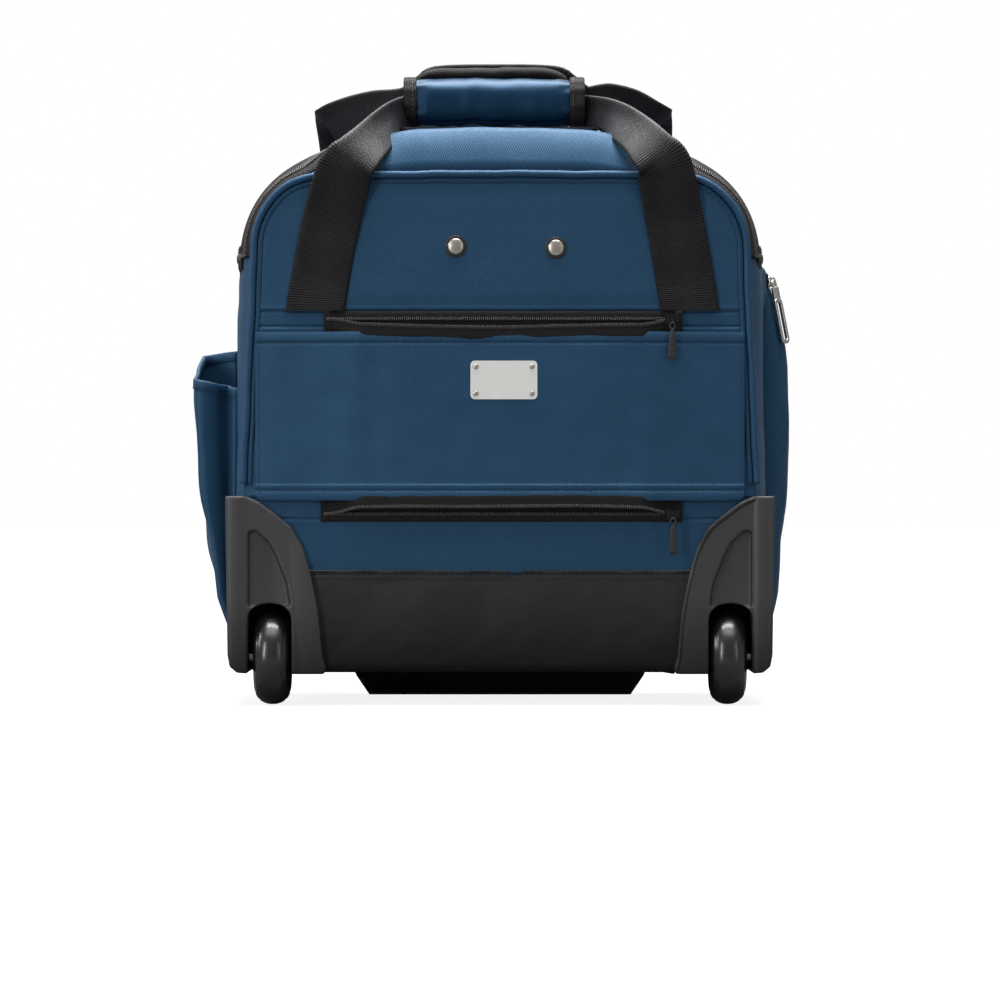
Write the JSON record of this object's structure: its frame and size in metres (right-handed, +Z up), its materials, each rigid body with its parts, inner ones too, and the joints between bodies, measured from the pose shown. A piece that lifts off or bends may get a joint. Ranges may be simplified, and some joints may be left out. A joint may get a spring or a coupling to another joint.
{
  "type": "rolling laptop case",
  "caption": "Soft-sided rolling laptop case with telescoping handle, fold-forward zipped lid, carry handles, side and front pockets and a rear sleeve that slips over a suitcase handle.",
  "frame": {"origin": "on the floor under the middle of the case, where the wheels and the front foot stand", "axes": "+X to the right seen from behind the case, +Y from the wheeled back towards the front, +Z up"},
  "size_m": [0.4054, 0.2086, 0.435],
  "materials": {
    "shell_fabric": "fine diagonal twill, slight sheen",
    "base_cover": "black coated cover with a fine leather grain",
    "zip_tape": "black woven tape with a nylon coil",
    "webbing": "ribbed black webbing",
    "housing_plastic": "finely textured dark grey moulding",
    "button_plastic": "smooth grey",
    "wheel_rubber": "glossy black polyurethane",
    "zip_hardware": "black painted",
    "bright_metal": "polished nickel",
    "steel_pin": "turned steel",
    "tube_metal": "satin anodised",
    "label_face": "off-white printed plate, left blank",
    "board": "stiffening board",
    "lining": "grey lining cloth, padded"
  },
  "bodies": {
    "case": {"back_panel": "shell_fabric", "base_tub": "base_cover", "gusset_band": "shell_fabric", "front_panel": "shell_fabric", "rear_piping": "shell_fabric", "main_zip_tape_body": "zip_tape", "sleeve_panel": "shell_fabric", "top_zip_tape": "zip_tape", "low_zip_tape": "zip_tape", "bracket_rivet_left": "bright_metal", "bracket_rivet_right": "bright_metal", "label_plate": "label_face", "label_rivet_1": "bright_metal", "label_rivet_2": "bright_metal", "label_rivet_3": "bright_metal", "label_rivet_4": "bright_metal", "wheel_housing_left": "housing_plastic", "wheel_housing_right": "housing_plastic", "wheel_axle_left": "steel_pin", "wheel_axle_right": "steel_pin", "front_foot": "housing_plastic", "base_board": "board", "trolley_bracket": "housing_plastic", "trolley_outer_tube_left": "tube_metal", "trolley_outer_tube_right": "tube_metal", "trolley_bezel": "housing_plastic", "rear_strap_anchor_left": "webbing", "rear_strap_anchor_right": "webbing", "bottle_pocket": "shell_fabric", "side_pocket": "shell_fabric", "side_pocket_zip_tape": "zip_tape", "front_pocket": "shell_fabric", "front_pocket_zip_tape": "zip_tape", "laptop_sleeve": "lining"},
    "lid": {"lid": "shell_fabric", "main_zip_tape_lid": "zip_tape", "front_handle_strap": "webbing"},
    "carry_handle": {"rear_handle_strap": "webbing", "grip_wrap": "shell_fabric"},
    "wheel_left": {"wheel_tyre_left": "wheel_rubber", "wheel_core_left": "housing_plastic"},
    "wheel_right": {"wheel_tyre_right": "wheel_rubber", "wheel_core_right": "housing_plastic"},
    "trolley_stage_1": {"trolley_middle_tube_left": "tube_metal", "trolley_middle_tube_right": "tube_metal"},
    "trolley_stage_2": {"trolley_inner_tube_left": "tube_metal", "trolley_inner_tube_right": "tube_metal", "trolley_grip": "housing_plastic"},
    "trolley_button": {"release_button": "button_plastic"},
    "top_zip_runner": {"top_zip_slider": "zip_hardware"},
    "top_zip_tag": {"top_zip_pull": "zip_hardware"},
    "low_zip_runner": {"low_zip_slider": "zip_hardware"},
    "low_zip_tag": {"low_zip_pull": "zip_hardware"},
    "side_pocket_runner": {"side_pocket_slider": "bright_metal"},
    "side_pocket_tag": {"side_pocket_pull": "bright_metal"},
    "front_pocket_runner": {"front_pocket_slider": "zip_hardware"},
    "front_pocket_tag": {"front_pocket_pull": "zip_hardware"},
    "main_zip_runner": {"main_zip_slider": "zip_hardware"},
    "main_zip_tag": {"main_zip_pull": "zip_hardware"}
  },
  "joints": [
    {"name": "left_wheel_spin", "type": "hinge", "parent": "case", "child": "wheel_left", "pos_m": [-0.1525, -0.071, 0.032], "axis": [1, 0, 0], "continuous": true},
    {"name": "right_wheel_spin", "type": "hinge", "parent": "case", "child": "wheel_right", "pos_m": [0.1525, -0.071, 0.032], "axis": [1, 0, 0], "continuous": true},
    {"name": "trolley_lower_stage", "type": "slide", "parent": "case", "child": "trolley_stage_1", "axis": [0, 0, 1], "range_m": [0, 0.27]},
    {"name": "trolley_upper_stage", "type": "slide", "parent": "trolley_stage_1", "child": "trolley_stage_2", "axis": [0, 0, 1], "range_m": [0, 0.26]},
    {"name": "release_button_press", "type": "slide", "parent": "trolley_stage_2", "child": "trolley_button", "axis": [0, 0, -1], "range_m": [0, 0.003]},
    {"name": "lid_open", "type": "hinge", "parent": "case", "child": "lid", "pos_m": [0, 0.0895, 0.2997], "axis": [-1, 0, 0], "range_deg": [0, 80]},
    {"name": "carry_handle_lift", "type": "slide", "parent": "case", "child": "carry_handle", "axis": [0, 0, 1], "range_m": [0, 0.02]},
    {"name": "top_zip_close", "type": "slide", "parent": "case", "child": "top_zip_runner", "axis": [-1, 0, 0], "range_m": [0, 0.222]},
    {"name": "top_zip_pull_swing", "type": "hinge", "parent": "top_zip_runner", "child": "top_zip_tag", "pos_m": [0.1145, -0.1012, 0.2531], "axis": [-1, 0, 0], "range_deg": [0, 110]},
    {"name": "low_zip_close", "type": "slide", "parent": "case", "child": "low_zip_runner", "axis": [-1, 0, 0], "range_m": [0, 0.222]},
    {"name": "low_zip_pull_swing", "type": "hinge", "parent": "low_zip_runner", "child": "low_zip_tag", "pos_m": [0.115, -0.1012, 0.123], "axis": [-1, 0, 0], "range_deg": [0, 110]},
    {"name": "side_pocket_unzip", "type": "slide", "parent": "case", "child": "side_pocket_runner", "axis": [0, 1, 0], "range_m": [0, 0.07]},
    {"name": "side_pocket_pull_swing", "type": "hinge", "parent": "side_pocket_runner", "child": "side_pocket_tag", "pos_m": [0.1909, -0.024, 0.2799], "axis": [0, -1, 0], "range_deg": [0, 80]},
    {"name": "front_pocket_unzip", "type": "slide", "parent": "case", "child": "front_pocket_runner", "axis": [1, 0, 0], "range_m": [0, 0.2]},
    {"name": "front_pocket_pull_swing", "type": "hinge", "parent": "front_pocket_runner", "child": "front_pocket_tag", "pos_m": [-0.104, 0.0972, 0.281], "axis": [1, 0, 0], "range_deg": [0, 70]},
    {"name": "main_zip_unzip", "type": "slide", "parent": "case", "child": "main_zip_runner", "axis": [0, -1, 0], "range_m": [0, 0.03]},
    {"name": "main_zip_pull_swing", "type": "hinge", "parent": "main_zip_runner", "child": "main_zip_tag", "pos_m": [-0.18362, 0.046, 0.2944], "axis": [0, 1, 0], "range_deg": [0, 90]}
  ]
}
